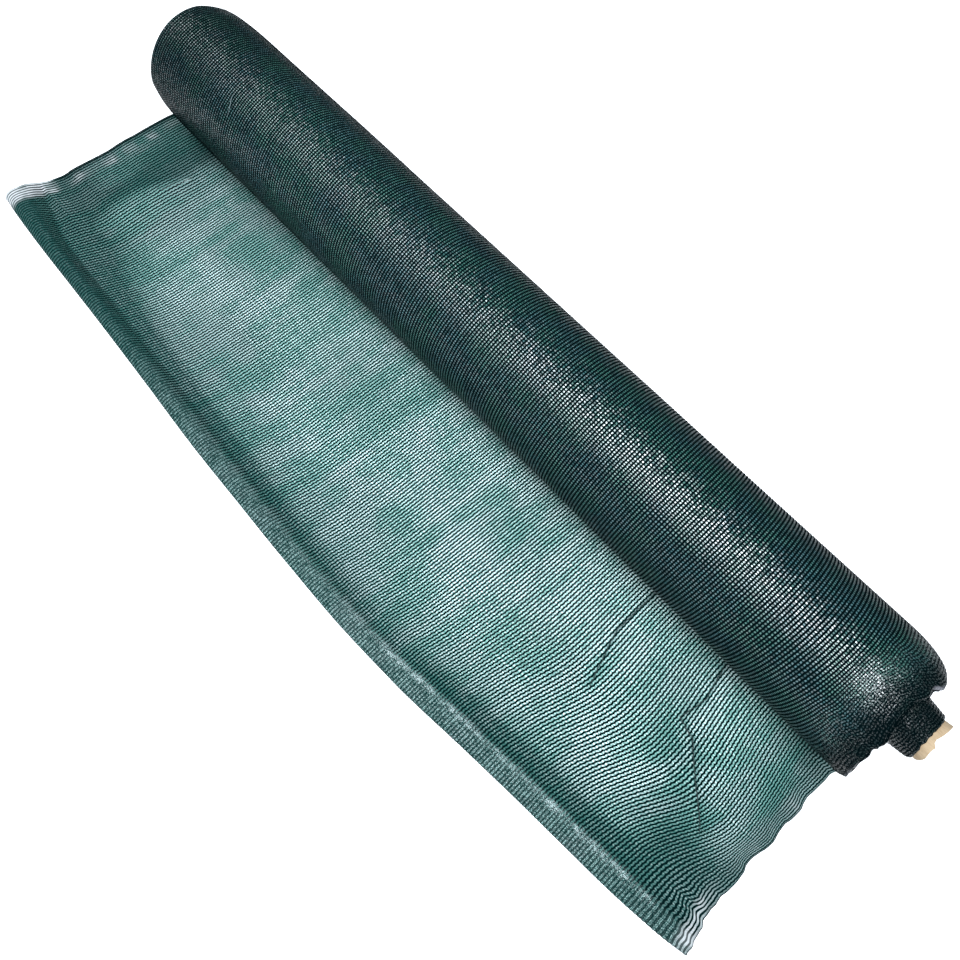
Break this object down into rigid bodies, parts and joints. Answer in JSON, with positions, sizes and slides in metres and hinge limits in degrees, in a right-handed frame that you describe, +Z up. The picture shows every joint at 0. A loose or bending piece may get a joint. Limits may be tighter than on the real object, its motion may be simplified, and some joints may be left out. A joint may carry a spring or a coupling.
{
  "type": "roll of knitted blind mesh on a cardboard tube",
  "caption": "Roll of dark green knitted mesh wound on a cardboard tube, lying on its side with its last turn pulled out and the free edge folded under.",
  "frame": {"origin": "on the floor, at the middle of the flat that the roll rests on", "axes": "+X along the roll towards its near end, where the tube shows; -Y is the way the loose net is pulled out; +Z up"},
  "size_m": [1.2708, 0.4384, 0.1649],
  "materials": {
    "wound_mesh": "knitted polyethylene tape and thread, dark green, wound in many layers, with small glints",
    "loose_mesh": "the same knit as one layer, through which light passes, with dark wales and open selvedges",
    "cardboard": "plain brown cardboard, matt, torn at one end"
  },
  "bodies": {
    "root": {"wound_net": "wound_mesh", "loose_net": "loose_mesh", "core_tube": "cardboard"}
  },
  "joints": []
}
